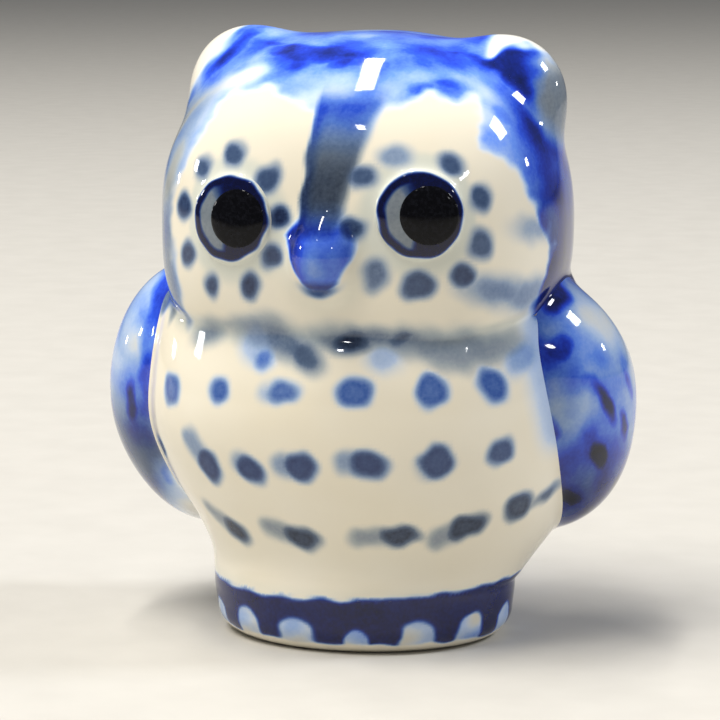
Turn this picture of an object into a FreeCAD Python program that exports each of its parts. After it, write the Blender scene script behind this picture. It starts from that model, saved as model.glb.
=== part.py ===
"""A miniature glazed porcelain owl that stands on its own foot, built the way a potter builds it.

Hollow cast head and body shells are luted together on a sloping neck seam, the wings, ears,
beak, eye discs and tail are pads of clay luted on from outside, and a vented foot closes the
bottom. Millimetres. +Z is up, the owl faces -Y, and its own left side is +X. The origin is
at the middle of the flat that it stands on.
"""

import math
import os

import FreeCAD
import Part

# ---------------------------------------------------------------- driving dimensions
HEAD_HALF_WIDTH = 8.3
HEAD_HALF_DEPTH = 7.3
HEAD_SET_BACK = 0.8          # the head's middle is this far behind the foot's
HEAD_WIDEST_Z = 16.8
HEAD_RISE = 7.95             # widest level to crown
HEAD_DROP = 8.0              # widest level to the bottom that the neck seam cuts off
HEAD_SQUARENESS = 2.3        # of the upright outline: 2 is an ellipse, more is boxier
HEAD_PLAN_SQUARENESS = 2.7   # of the outline seen from above, which flattens the face

# The body's plan outlines from the foot to inside the head, as half width, height, and the
# middle's place to the owl's left and behind the foot's middle. It leans a little, as
# hand-finished ware does, and it bulges at the back over the foot.
BODY_OUTLINES = (
    (6.35, 2.3, 0.0, 0.0),
    (6.75, 3.2, 0.2, 0.5),
    (7.45, 4.4, 0.3, 0.9),
    (8.45, 6.2, 0.15, 1.0),
    (9.15, 8.5, 0.0, 0.9),
    (9.15, 11.0, 0.0, 0.9),
    (8.9, 13.0, 0.0, 1.3),
    (8.3, 14.8, 0.0, 1.5),
    (7.6, 15.9, 0.0, 1.5),
    (6.4, 17.0, 0.0, 1.5),
)
DEPTH_RATIO = 0.84           # half depth over half width, of the body and the foot

NECK_Z = 14.35               # height of the neck seam in the middle of the head
NECK_SLOPE_DEG = 12.0        # the seam is lower at the front, under the chin

FOOT_HALF_WIDTH = 6.35
FOOT_WAIST = 6.2            # half width just above the rolled edge
FOOT_HEIGHT = 2.3
FOOT_BOTTOM_ROUND = 1.15     # size of the rolled edge where the foot meets the table
VENT_RADIUS = 1.5            # the hole through the foot that lets the hot air out

WALL = 2.0                   # cast wall of the head and the body

WING_SIZE = (4.4, 4.4, 6.0)  # half width, half depth, half height
LEFT_WING_CENTRE = (6.6, 1.9, 9.5)
LEFT_WING_LEAN_DEG = 32.0    # the shoulder leans forward and the tip back
RIGHT_WING_CENTRE = (-7.3, 2.6, 9.3)
RIGHT_WING_LEAN_DEG = 20.0

EAR_SIZE = (2.3, 1.8, 2.3)
EAR_SPLAY_DEG = 20.0         # the ear tip leans outward
LEFT_EAR_CENTRE = (5.75, 0.9, 22.2)
RIGHT_EAR_CENTRE = (-5.15, 0.9, 22.55)

BEAK_HEIGHT = 16.2
BEAK_SIZE = (1.2, 1.3, 1.5)
BEAK_NOD_DEG = 12.0          # the tip turns down and in
BEAK_SINK = 0.1              # how far the beak's middle is behind the face

LEFT_EYE_HEIGHT = 17.95
RIGHT_EYE_HEIGHT = 17.65
EYE_SPACING = 3.8            # axis to eye centre
EYE_RADIUS = 1.7
EYE_DOME = 0.3               # how far the disc stands out of the face
PUPIL_RADIUS = 1.15
PUPIL_DOME = 0.1
PUPIL_GLANCE = 0.36           # both pupils sit this far towards the owl's left

TAIL_CENTRE = (0.0, 7.3, 5.3)
TAIL_SIZE = (3.2, 2.0, 3.1)
TAIL_KICK_DEG = 14.0         # the tip of the tail stands away from the body

X_AXIS = FreeCAD.Vector(1, 0, 0)
Y_AXIS = FreeCAD.Vector(0, 1, 0)
Z_AXIS = FreeCAD.Vector(0, 0, 1)
ORIGIN = FreeCAD.Vector(0, 0, 0)
ROUND = 2.0                  # squareness of a plain ellipse
OVAL_POINTS = 24             # points round one plan outline
HEAD_LEVELS = 14             # plan outlines from the bottom of the head to the crown
CROWN_CAP_DEG = 84.0         # the topmost outline, as an angle up from the widest level
BLOCK = 60.0                 # a size larger than the owl, for cutting
PROBE = 0.01                 # step for measuring a surface's slope
PUPIL_SPIN_DEG = 70.0        # turns the pupil's seam away from the eye disc's


# ---------------------------------------------------------------- shape helpers
def head_scale(z):
    """Size of the head's plan outline at a height, as a share of its widest."""
    reach = HEAD_RISE if z > HEAD_WIDEST_Z else HEAD_DROP
    share = min(1.0, abs(z - HEAD_WIDEST_Z) / reach)
    return (1.0 - share**HEAD_SQUARENESS) ** (1.0 / HEAD_SQUARENESS)


def oval(half_width, half_depth, centre, squareness):
    """A closed smooth plan outline round a centre: a superellipse."""
    power = 2.0 / squareness
    points = []
    for i in range(OVAL_POINTS):
        angle = 2 * math.pi * (i + 0.5) / OVAL_POINTS
        across, along = math.cos(angle), math.sin(angle)
        x = math.copysign(abs(across) ** power, across) * half_width
        y = math.copysign(abs(along) ** power, along) * half_depth
        points.append(FreeCAD.Vector(x, y, 0) + FreeCAD.Vector(*centre))
    curve = Part.BSplineCurve()
    curve.interpolate(Points=points, PeriodicFlag=True)
    return Part.Wire(curve.toShape())


def squash_depth(shape, ratio):
    """The shape with its front-to-back sizes multiplied by ratio."""
    matrix = FreeCAD.Matrix()
    matrix.scale(1.0, ratio, 1.0)
    return shape.transformGeometry(matrix)


def ellipsoid(size, centre, turns=()):
    """An ellipsoid of these half sizes, turned about each (axis, degrees) and moved to centre."""
    matrix = FreeCAD.Matrix()
    matrix.scale(*size)
    shape = Part.makeSphere(1.0).transformGeometry(matrix)
    for axis, degrees in turns:
        shape.rotate(ORIGIN, axis, degrees)
    shape.translate(FreeCAD.Vector(*centre))
    return shape


def half_space(above):
    """A large block whose face is the neck seam, on the head's side or on the body's."""
    block = Part.makeBox(BLOCK, BLOCK, BLOCK, FreeCAD.Vector(-BLOCK / 2, -BLOCK / 2, 0))
    if not above:
        block.translate(FreeCAD.Vector(0, 0, -BLOCK))
    block.rotate(ORIGIN, X_AXIS, NECK_SLOPE_DEG)
    block.translate(FreeCAD.Vector(0, HEAD_SET_BACK, NECK_Z))
    return block


def face_y(x, z):
    """How far forward the face is at a point of the front view."""
    scale = head_scale(z)
    across = abs(x) / (HEAD_HALF_WIDTH * scale)
    plan = (1.0 - across**HEAD_PLAN_SQUARENESS) ** (1.0 / HEAD_PLAN_SQUARENESS)
    return HEAD_SET_BACK - HEAD_HALF_DEPTH * scale * plan


def face_point(x, z):
    """Point on the front of the head and the outward direction there."""
    across = FreeCAD.Vector(2 * PROBE, face_y(x + PROBE, z) - face_y(x - PROBE, z), 0)
    up = FreeCAD.Vector(0, face_y(x, z + PROBE) - face_y(x, z - PROBE), 2 * PROBE)
    return FreeCAD.Vector(x, face_y(x, z), z), across.cross(up).normalize()


def lens(radius, dome, point, outward, spin=0.0):
    """A round lens on a surface point, its short axis along the outward direction.

    spin turns it about that axis, which keeps the seams of two stacked lenses apart.
    """
    matrix = FreeCAD.Matrix()
    matrix.scale(radius, radius, dome)
    shape = Part.makeSphere(1.0).transformGeometry(matrix)
    shape.rotate(ORIGIN, Z_AXIS, spin)
    turn = FreeCAD.Rotation(Z_AXIS, outward)
    shape.rotate(ORIGIN, turn.Axis, math.degrees(turn.Angle))
    shape.translate(point)
    return shape


# ---------------------------------------------------------------- the clay pieces
def head_form(shrink=0.0):
    """The head as a full solid, smaller by shrink all round for its hollow."""
    outlines = []
    for i in range(HEAD_LEVELS):
        angle = math.radians(CROWN_CAP_DEG * (2 * i / (HEAD_LEVELS - 1) - 1))
        reach = HEAD_RISE - shrink if angle > 0 else HEAD_DROP
        height = math.copysign(abs(math.sin(angle)) ** (2 / HEAD_SQUARENESS), angle) * reach
        scale = math.cos(angle) ** (2 / HEAD_SQUARENESS)
        outlines.append(
            oval(
                (HEAD_HALF_WIDTH - shrink) * scale,
                (HEAD_HALF_DEPTH - shrink) * scale,
                (0, HEAD_SET_BACK, HEAD_WIDEST_Z + height),
                HEAD_PLAN_SQUARENESS,
            )
        )
    return Part.makeLoft(outlines, True)


def body_form(shrink=0.0):
    """The body as a full solid, smaller by shrink all round for its hollow."""
    outlines = [
        oval(
            half_width - shrink,
            half_width * DEPTH_RATIO - shrink,
            (to_left, behind, z),
            ROUND,
        )
        for half_width, z, to_left, behind in BODY_OUTLINES
    ]
    return Part.makeLoft(outlines, True)


def head_shell():
    """Cast head, open at the neck."""
    return head_form().common(half_space(above=True)).cut(head_form(WALL))


def body_shell():
    """Cast body, open at the neck and at the foot."""
    return body_form().common(half_space(above=False)).cut(body_form(WALL))


def foot():
    """Rolled foot, flat underneath, with the hole that vents the hollow in the kiln."""
    corner = math.sqrt(0.5) * FOOT_BOTTOM_ROUND
    inner, outer = FOOT_WAIST - FOOT_BOTTOM_ROUND, FOOT_WAIST
    roll = Part.Arc(
        FreeCAD.Vector(inner, 0, 0),
        FreeCAD.Vector(inner + corner, 0, FOOT_BOTTOM_ROUND - corner),
        FreeCAD.Vector(outer, 0, FOOT_BOTTOM_ROUND),
    )
    corners = [
        FreeCAD.Vector(outer, 0, FOOT_BOTTOM_ROUND),
        FreeCAD.Vector(FOOT_HALF_WIDTH, 0, FOOT_HEIGHT),
        FreeCAD.Vector(0, 0, FOOT_HEIGHT),
        FreeCAD.Vector(0, 0, -FOOT_HEIGHT),
        FreeCAD.Vector(inner, 0, -FOOT_HEIGHT),
        FreeCAD.Vector(inner, 0, 0),
    ]
    edges = [roll.toShape()]
    edges += [Part.LineSegment(a, b).toShape() for a, b in zip(corners, corners[1:])]
    turned = Part.Face(Part.Wire(edges)).revolve(ORIGIN, Z_AXIS, 360)
    below = Part.makeBox(BLOCK, BLOCK, BLOCK, FreeCAD.Vector(-BLOCK / 2, -BLOCK / 2, -BLOCK))
    vent = Part.makeCylinder(VENT_RADIUS, 3 * FOOT_HEIGHT, FreeCAD.Vector(0, 0, -FOOT_HEIGHT))
    return squash_depth(turned, DEPTH_RATIO).cut(below).cut(vent)


def wing(body, head, centre, lean):
    """A leaf-shaped pad on the body's side, up to the head."""
    pad = ellipsoid(WING_SIZE, centre, [(X_AXIS, lean)])
    return pad.cut(body).cut(head)


def ear(head, centre, splay):
    """An ear tuft, a rounded lobe on the corner of the head."""
    return ellipsoid(EAR_SIZE, centre, [(Y_AXIS, splay)]).cut(head)


def beak(head):
    """Short rounded beak in the middle of the face."""
    point, _ = face_point(0.0, BEAK_HEIGHT)
    centre = (0.0, point.y + BEAK_SINK, BEAK_HEIGHT)
    return ellipsoid(BEAK_SIZE, centre, [(X_AXIS, BEAK_NOD_DEG)]).cut(head)


def eye_and_pupil(head, x, z):
    """An eye disc at a place on the face, and its raised drop of black enamel."""
    point, outward = face_point(x, z)
    disc_form = lens(EYE_RADIUS, EYE_DOME, point, outward)
    glance = X_AXIS - outward * outward.x
    pupil_point = point + glance.normalize() * PUPIL_GLANCE + outward * (EYE_DOME - PUPIL_DOME)
    pupil = lens(PUPIL_RADIUS, 2 * PUPIL_DOME, pupil_point, outward, PUPIL_SPIN_DEG)
    return disc_form.cut(head), pupil.cut(disc_form)


def tail(body, foot_solid):
    """Short tail at the back, between the wing tips."""
    pad = ellipsoid(TAIL_SIZE, TAIL_CENTRE, [(X_AXIS, TAIL_KICK_DEG)])
    return pad.cut(body).cut(foot_solid)


def check(name, shape):
    """Stops the build when a piece isn't one closed, valid solid."""
    if not shape.isValid() or len(shape.Solids) != 1 or shape.Volume <= 0:
        raise SystemExit(
            f"{name}: valid {shape.isValid()}, {len(shape.Solids)} solids, {shape.Volume:.2f} mm3"
        )
    return shape.Solids[0]


def main():
    """Builds every piece and writes parts/NODE.step."""
    head, body = head_form(), body_form()
    foot_solid = foot()
    left_eye, left_pupil = eye_and_pupil(head, EYE_SPACING, LEFT_EYE_HEIGHT)
    right_eye, right_pupil = eye_and_pupil(head, -EYE_SPACING, RIGHT_EYE_HEIGHT)
    pieces = {
        "head_shell": head_shell(),
        "body_shell": body_shell(),
        "foot": foot_solid,
        "left_wing": wing(body, head, LEFT_WING_CENTRE, LEFT_WING_LEAN_DEG),
        "right_wing": wing(body, head, RIGHT_WING_CENTRE, RIGHT_WING_LEAN_DEG),
        "left_ear": ear(head, LEFT_EAR_CENTRE, EAR_SPLAY_DEG),
        "right_ear": ear(head, RIGHT_EAR_CENTRE, -EAR_SPLAY_DEG),
        "beak": beak(head),
        "left_eye_disc": left_eye,
        "right_eye_disc": right_eye,
        "left_pupil": left_pupil,
        "right_pupil": right_pupil,
        "tail": tail(body, foot_solid),
    }
    os.makedirs("parts", exist_ok=True)
    for name, shape in pieces.items():
        solid = check(name, shape)
        solid.exportStep(f"parts/{name}.step")
        print(f"{name}: {solid.Volume:.2f} mm3")


main()
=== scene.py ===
"""A miniature blue-and-white porcelain owl, modelled round its fixed CAD frame.

Every clay piece is cut out of one shared implicit form, so that the pieces meet without a gap
and the glaze runs over the joins. Sizes are in millimetres until a mesh is written in metres.
The owl faces -Y, its own left side is +X and +Z is up.
"""

import logging
import math
from collections.abc import Callable
from dataclasses import dataclass, field
from enum import Enum
from typing import ClassVar

import bpy
import numpy as np
from mathutils import Matrix, Vector


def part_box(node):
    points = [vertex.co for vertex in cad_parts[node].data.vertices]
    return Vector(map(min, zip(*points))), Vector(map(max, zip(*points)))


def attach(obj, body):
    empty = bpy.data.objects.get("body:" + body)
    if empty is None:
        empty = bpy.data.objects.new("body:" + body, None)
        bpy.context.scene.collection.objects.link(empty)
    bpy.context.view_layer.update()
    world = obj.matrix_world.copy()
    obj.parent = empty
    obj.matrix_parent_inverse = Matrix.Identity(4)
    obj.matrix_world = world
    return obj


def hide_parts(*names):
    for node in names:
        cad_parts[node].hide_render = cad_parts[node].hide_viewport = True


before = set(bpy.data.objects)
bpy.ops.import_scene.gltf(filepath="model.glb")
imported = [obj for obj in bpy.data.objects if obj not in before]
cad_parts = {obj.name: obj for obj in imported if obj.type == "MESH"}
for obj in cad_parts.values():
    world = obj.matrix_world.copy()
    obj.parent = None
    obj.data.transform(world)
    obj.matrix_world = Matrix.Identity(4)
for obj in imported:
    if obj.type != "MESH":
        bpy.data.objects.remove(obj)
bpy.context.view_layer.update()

LOG = logging.getLogger("owl")
MM = 0.001
Array = np.ndarray


# ---------------------------------------------------------------- small maths
def smooth_min(a: Array, b: Array, k: float) -> Array:
    """Joins two distance fields with a fillet about k wide."""
    h = np.maximum(k - np.abs(a - b), 0.0) / k
    return np.minimum(a, b) - h * h * h * k / 6.0


def smooth_max(a: Array, b: Array, k: float) -> Array:
    """Keeps what two distance fields share, with its edge rounded about k wide."""
    return -smooth_min(-a, -b, k)


def ease(low: float, high: float, value: Array) -> Array:
    """Smoothstep from 0 at low to 1 at high."""
    t = np.clip((value - low) / (high - low), 0.0, 1.0)
    return t * t * (3.0 - 2.0 * t)


def unit(v: Array) -> Array:
    """Vectors scaled to length 1."""
    return v / np.maximum(np.linalg.norm(v, axis=-1, keepdims=True), 1e-12)


def turn_matrix(axis: str, degrees: float) -> Array:
    """Rotation by the right-hand rule about a coordinate axis.

    Args:
        axis: "x", "y" or "z".
        degrees: The angle.

    Returns:
        A 3 x 3 matrix whose columns are the turned axes.
    """
    c, s = math.cos(math.radians(degrees)), math.sin(math.radians(degrees))
    rows = {
        "x": [[1, 0, 0], [0, c, -s], [0, s, c]],
        "y": [[c, 0, s], [0, 1, 0], [-s, 0, c]],
        "z": [[c, -s, 0], [s, c, 0], [0, 0, 1]],
    }
    return np.array(rows[axis])


def ripple(p: Array, wavelength: float, seed: int) -> Array:
    """Smooth seeded noise between about -1 and 1, made of a few slanted sine waves.

    Args:
        p: Points, N x 3.
        wavelength: Rough size of a ripple in millimetres.
        seed: Picks the slants and phases.

    Returns:
        One value for each point.
    """
    waves = 7
    rng = np.random.default_rng(seed)
    slants = unit(rng.normal(size=(waves, 3))) * rng.uniform(0.7, 1.5, (waves, 1))
    phases = rng.uniform(0.0, 2 * math.pi, waves)
    total = sum(np.sin(p @ s * (2 * math.pi / wavelength) + f) for s, f in zip(slants, phases))
    return total / math.sqrt(waves)


# ---------------------------------------------------------------- the clay forms
@dataclass(frozen=True)
class HeadForm:
    """The cast head: a squarish egg with a flattened face."""

    half_width: float = 8.3
    half_depth: float = 7.3
    set_back: float = 0.8
    widest: float = 16.8
    rise: float = 7.95
    drop: float = 8.0
    squareness: float = 2.3
    plan_squareness: float = 2.7

    def distance(self, p: Array, shrink: float = 0.0) -> Array:
        """Distance from the head's surface, made smaller by shrink for the hollow."""
        q, s = self.squareness, self.plan_squareness
        across, along = self.half_width - shrink, self.half_depth - shrink
        x = np.abs(p[:, 0]) / across
        y = np.abs(p[:, 1] - self.set_back) / along
        reach = np.where(p[:, 2] > self.widest, self.rise - shrink, self.drop)
        z = np.abs(p[:, 2] - self.widest) / reach
        plan = (x**s + y**s) ** (1 / s) + 1e-9
        size = (plan**q + z**q) ** (1 / q) + 1e-9
        slope_plan = (plan / size) ** (q - 1)
        slope_x = slope_plan * (x / plan) ** (s - 1) / across
        slope_y = slope_plan * (y / plan) ** (s - 1) / along
        slope_z = (z / size) ** (q - 1) / reach
        return (size - 1.0) / np.sqrt(slope_x**2 + slope_y**2 + slope_z**2)


@dataclass(frozen=True)
class BodyForm:
    """The cast body: ovals stacked up from the foot to inside the head."""

    # half width, height, middle's place to the owl's left, middle's place behind the foot's
    outlines: tuple[tuple[float, float, float, float], ...] = (
        (6.35, 2.3, 0.0, 0.0),
        (6.75, 3.2, 0.2, 0.5),
        (7.45, 4.4, 0.3, 0.9),
        (8.45, 6.2, 0.15, 1.0),
        (9.15, 8.5, 0.0, 0.9),
        (9.15, 11.0, 0.0, 0.9),
        (8.9, 13.0, 0.0, 1.3),
        (8.3, 14.8, 0.0, 1.5),
        (7.6, 15.9, 0.0, 1.5),
        (6.4, 17.0, 0.0, 1.5),
    )
    depth_ratio: float = 0.84

    def at(self, column: int, z: Array) -> Array:
        """One column of the outlines as a smooth curve of height."""
        table = np.array(self.outlines)
        knots, values = table[:, 1], table[:, column]
        slopes = np.gradient(values, knots)
        z = np.clip(z, knots[0], knots[-1])
        i = np.clip(np.searchsorted(knots, z) - 1, 0, len(knots) - 2)
        span = knots[i + 1] - knots[i]
        t = (z - knots[i]) / span
        rise = t * t * (3 - 2 * t)
        bow_in = t * (1 - t) ** 2 * span * slopes[i]
        bow_out = t * t * (t - 1) * span * slopes[i + 1]
        return values[i] * (1 - rise) + values[i + 1] * rise + bow_in + bow_out

    def distance(self, p: Array, shrink: float = 0.0) -> Array:
        """Distance from the body's surface, made smaller by shrink for the hollow."""
        step = 0.05
        z = p[:, 2]
        width = self.at(0, z) - shrink
        slope = (self.at(0, z + step) - self.at(0, z - step)) / (2 * step)
        squash = (width * self.depth_ratio - shrink * (1 - self.depth_ratio)) / width
        x = p[:, 0] - self.at(2, z)
        y = (p[:, 1] - self.at(3, z)) / squash
        radius = np.hypot(x, y) + 1e-9
        steep = (x / radius) ** 2 + (y / (squash * radius)) ** 2 + slope**2
        return (radius - width) / np.sqrt(steep + 1e-12)


@dataclass(frozen=True)
class FootForm:
    """The rolled foot, flat underneath, with its vent hole."""

    half_width: float = 6.35
    waist: float = 6.2
    height: float = 2.3
    roll: float = 1.15
    depth_ratio: float = 0.84
    vent_radius: float = 1.5

    def distance(self, p: Array) -> Array:
        """Distance from the foot's outside."""
        z = p[:, 2]
        climb = np.clip((z - self.roll) / (self.height - self.roll), 0.0, 1.0)
        width = self.waist + (self.half_width - self.waist) * climb
        radius = np.hypot(p[:, 0], p[:, 1] / self.depth_ratio)
        out = radius - (width - self.roll)
        down = self.roll - z
        corner = np.hypot(np.maximum(out, 0.0), np.maximum(down, 0.0))
        return corner + np.minimum(np.maximum(out, down), 0.0) - self.roll

    def vent(self, p: Array) -> Array:
        """Distance from the vent hole's wall, negative inside the hole."""
        return np.hypot(p[:, 0], p[:, 1]) - self.vent_radius


@dataclass(frozen=True)
class Pad:
    """A luted pad of clay: an ellipsoid turned and set in place."""

    size: tuple[float, float, float]
    centre: tuple[float, float, float]
    turn: Array = field(default_factory=lambda: np.eye(3))

    def local(self, p: Array) -> Array:
        """Points in the pad's own axes, in millimetres from its centre."""
        return (p - np.array(self.centre)) @ self.turn

    def distance(self, p: Array) -> Array:
        """Distance from the pad's surface."""
        size = np.array(self.size)
        q = self.local(p)
        share = np.linalg.norm(q / size, axis=1) + 1e-9
        slope = np.linalg.norm(q / size**2, axis=1) + 1e-9
        return share * (share - 1.0) / slope


class Node(Enum):
    """The owl's clay pieces, named as in the CAD frame."""

    HEAD = "head_shell"
    BODY = "body_shell"
    FOOT = "foot"
    LEFT_WING = "left_wing"
    RIGHT_WING = "right_wing"
    LEFT_EAR = "left_ear"
    RIGHT_EAR = "right_ear"
    BEAK = "beak"
    LEFT_EYE = "left_eye_disc"
    RIGHT_EYE = "right_eye_disc"
    LEFT_PUPIL = "left_pupil"
    RIGHT_PUPIL = "right_pupil"
    TAIL = "tail"


BASES = (Node.HEAD, Node.BODY, Node.FOOT)
# How wide the slip fillet is that blends each pad into what it is luted to.
FILLETS = {
    Node.LEFT_WING: 0.55,
    Node.RIGHT_WING: 0.55,
    Node.LEFT_EAR: 2.8,
    Node.RIGHT_EAR: 2.8,
    Node.BEAK: 1.5,
    Node.LEFT_EYE: 0.5,
    Node.RIGHT_EYE: 0.5,
    Node.TAIL: 0.8,
}
PUPILS = (Node.LEFT_PUPIL, Node.RIGHT_PUPIL)


@dataclass
class Clay:
    """The whole owl as one implicit form that the pieces are cut from."""

    head: HeadForm = field(default_factory=HeadForm)
    body: BodyForm = field(default_factory=BodyForm)
    foot: FootForm = field(default_factory=FootForm)
    wall: float = 2.0
    neck_height: float = 14.35
    neck_slope: float = 12.0
    neck_round: float = 1.0      # rounding of both shells at the neck seam
    neck_fillet: float = 1.0
    foot_round: float = 0.6
    foot_fillet: float = 0.5
    seat: float = 0.25           # how deep a pad sits in the form below it
    wave_height: float = 0.035   # unevenness that the hands leave
    wave_length: float = 7.0
    eye_spacing: float = 3.8
    eye_heights: tuple[float, float] = (17.95, 17.65)
    eye_radius: float = 1.7
    eye_dome: float = 0.3
    pupil_radius: float = 1.15
    pupil_dome: float = 0.1
    pupil_glance: float = 0.36   # how far a pupil sits from its disc's middle
    longest_ray: float = 16.0    # millimetres from inside the owl to past its skin
    ray_samples: int = 26
    ray_rounds: int = 3          # each round looks closer, between two samples of the last
    pads: dict[Node, Pad] = field(default_factory=dict)

    def __post_init__(self) -> None:
        """Sets every pad in its place on the shells."""
        wing, ear = (4.4, 4.4, 6.0), (2.3, 1.8, 2.3)
        self.pads = {
            Node.LEFT_WING: Pad(wing, (6.6, 1.9, 9.5), turn_matrix("x", 32.0)),
            Node.RIGHT_WING: Pad(wing, (-7.3, 2.6, 9.3), turn_matrix("x", 20.0)),
            Node.LEFT_EAR: Pad(ear, (5.75, 0.9, 22.2), turn_matrix("y", 20.0)),
            Node.RIGHT_EAR: Pad(ear, (-5.15, 0.9, 22.55), turn_matrix("y", -20.0)),
            Node.TAIL: Pad((3.2, 2.0, 3.1), (0.0, 7.3, 5.3), turn_matrix("x", 14.0)),
        }
        beak_height, beak_sink = 16.2, 0.1
        tip = self.face_point(0.0, beak_height)
        beak_centre = (0.0, tip[1] + beak_sink, beak_height)
        self.pads[Node.BEAK] = Pad((1.2, 1.3, 1.5), beak_centre, turn_matrix("x", 12.0))
        for side, height in zip((1, -1), self.eye_heights):
            point = self.face_point(side * self.eye_spacing, height)
            outward = self.normal_of(self.head.distance, point[None])[0]
            across = unit(np.array([1.0, 0, 0]) - outward * outward[0])
            axes = np.column_stack((across, np.cross(outward, across), outward))
            disc = (self.eye_radius, self.eye_radius, self.eye_dome)
            drop = (self.pupil_radius, self.pupil_radius, 2 * self.pupil_dome)
            middle = point + across * self.pupil_glance
            middle = middle + outward * (self.eye_dome - self.pupil_dome)
            eye, pupil = (Node.LEFT_EYE, Node.LEFT_PUPIL)
            if side < 0:
                eye, pupil = (Node.RIGHT_EYE, Node.RIGHT_PUPIL)
            self.pads[eye] = Pad(disc, tuple(point), axes)
            self.pads[pupil] = Pad(drop, tuple(middle), axes)

    def face_point(self, x: float, z: float) -> Array:
        """Point on the front of the bare head at a place of the front view."""
        return self.cast(self.head.distance, np.array([x, 0.0, z]), np.array([0.0, -1.0, 0.0]))

    def cast(self, form: Callable[[Array], Array], start: Array, direction: Array) -> Array:
        """Finds where a ray from inside a form leaves it.

        Args:
            form: Distance function, negative inside.
            start: A point inside the form.
            direction: Unit direction of the ray.

        Returns:
            The point on the surface.
        """
        low, high = 0.0, self.longest_ray
        for _ in range(self.ray_rounds):
            steps = np.linspace(low, high, self.ray_samples)
            inside = form(start + direction * steps[:, None]) < 0
            last = int(np.nonzero(inside)[0].max())
            low, high = steps[last], steps[min(last + 1, self.ray_samples - 1)]
        return start + direction * low

    @staticmethod
    def normal_of(form: Callable[[Array], Array], p: Array, step: float = 0.02) -> Array:
        """Unit outward direction of a distance field at each point, by differences."""
        out = np.empty_like(p)
        for axis in range(3):
            shift = np.zeros(3)
            shift[axis] = step
            out[:, axis] = form(p + shift) - form(p - shift)
        return unit(out)

    def above_neck(self, p: Array) -> Array:
        """Height over the sloping neck seam."""
        slope = math.radians(self.neck_slope)
        rise = (p[:, 1] - self.head.set_back) * math.sin(slope)
        return (p[:, 2] - self.neck_height) * math.cos(slope) - rise

    def parts(self, p: Array) -> dict[Node, Array]:
        """Distance from every clay piece on its own, pupils left out."""
        over = self.above_neck(p)
        lift = p[:, 2] - self.foot.height
        wave = ripple(p, self.wave_length, seed=4) * self.wave_height
        head = smooth_max(self.head.distance(p) + wave, -over, self.neck_round)
        body = smooth_max(self.body.distance(p) + wave, over, self.neck_round)
        found = {
            Node.HEAD: head,
            Node.BODY: smooth_max(body, -lift, self.foot_round),
            Node.FOOT: smooth_max(self.foot.distance(p), lift, self.foot_round),
        }
        for node, pad in self.pads.items():
            if node not in PUPILS:
                found[node] = pad.distance(p) + wave
        return found

    def skin_of(self, parts: dict[Node, Array]) -> Array:
        """The fused outside of the owl from the distances of its pieces."""
        skin = smooth_min(parts[Node.BODY], parts[Node.FOOT], self.foot_fillet)
        skin = smooth_min(skin, parts[Node.HEAD], self.neck_fillet)
        for node, fillet in FILLETS.items():
            skin = smooth_min(skin, parts[node], fillet)
        return skin

    def skin(self, p: Array) -> Array:
        """Distance from the fused outside of the owl."""
        return self.skin_of(self.parts(p))

    def hollow(self, p: Array) -> Array:
        """Distance from the hollow and the vent, negative inside them."""
        over = self.above_neck(p)
        upper = np.maximum(self.head.distance(p, self.wall), -over)
        lower = np.maximum(self.body.distance(p, self.wall), over)
        lower = np.maximum(lower, self.foot.height - p[:, 2])
        vent = np.maximum(self.foot.vent(p), p[:, 2] - self.foot.height - self.wall)
        return np.minimum(np.minimum(upper, lower), vent)

    def seat_of(self, node: Node, parts: dict[Node, Array]) -> Array:
        """Field that is negative where a pad, and not what it is luted to, has the clay."""
        base = np.minimum(np.minimum(parts[Node.HEAD], parts[Node.BODY]), parts[Node.FOOT])
        return np.maximum(parts[node] - base, -self.seat - base)

    def share_of(self, node: Node, parts: dict[Node, Array]) -> Array:
        """Field that is negative where the clay belongs to a piece."""
        if node not in BASES:
            rivals = [parts[n] for n in FILLETS if n is not node]
            nearer = parts[node] - np.minimum.reduce(rivals)
            return np.maximum(self.seat_of(node, parts), nearer)
        others = np.minimum.reduce([parts[n] for n in BASES if n is not node])
        pads = np.minimum.reduce([self.seat_of(n, parts) for n in FILLETS])
        return np.maximum(parts[node] - others, -pads)

    def walls(self, node: Node, p: Array) -> list[Array]:
        """The fields that bound a piece, all negative inside it: skin, joins and hollow."""
        parts = self.parts(p)
        return [self.skin_of(parts), self.share_of(node, parts), -self.hollow(p)]


# ---------------------------------------------------------------- from clay to mesh
@dataclass
class Skin:
    """A piece's mesh before Blender has it."""

    points: Array
    quads: Array
    labels: Array        # which wall each quad lies on: 0 is the outside


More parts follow.
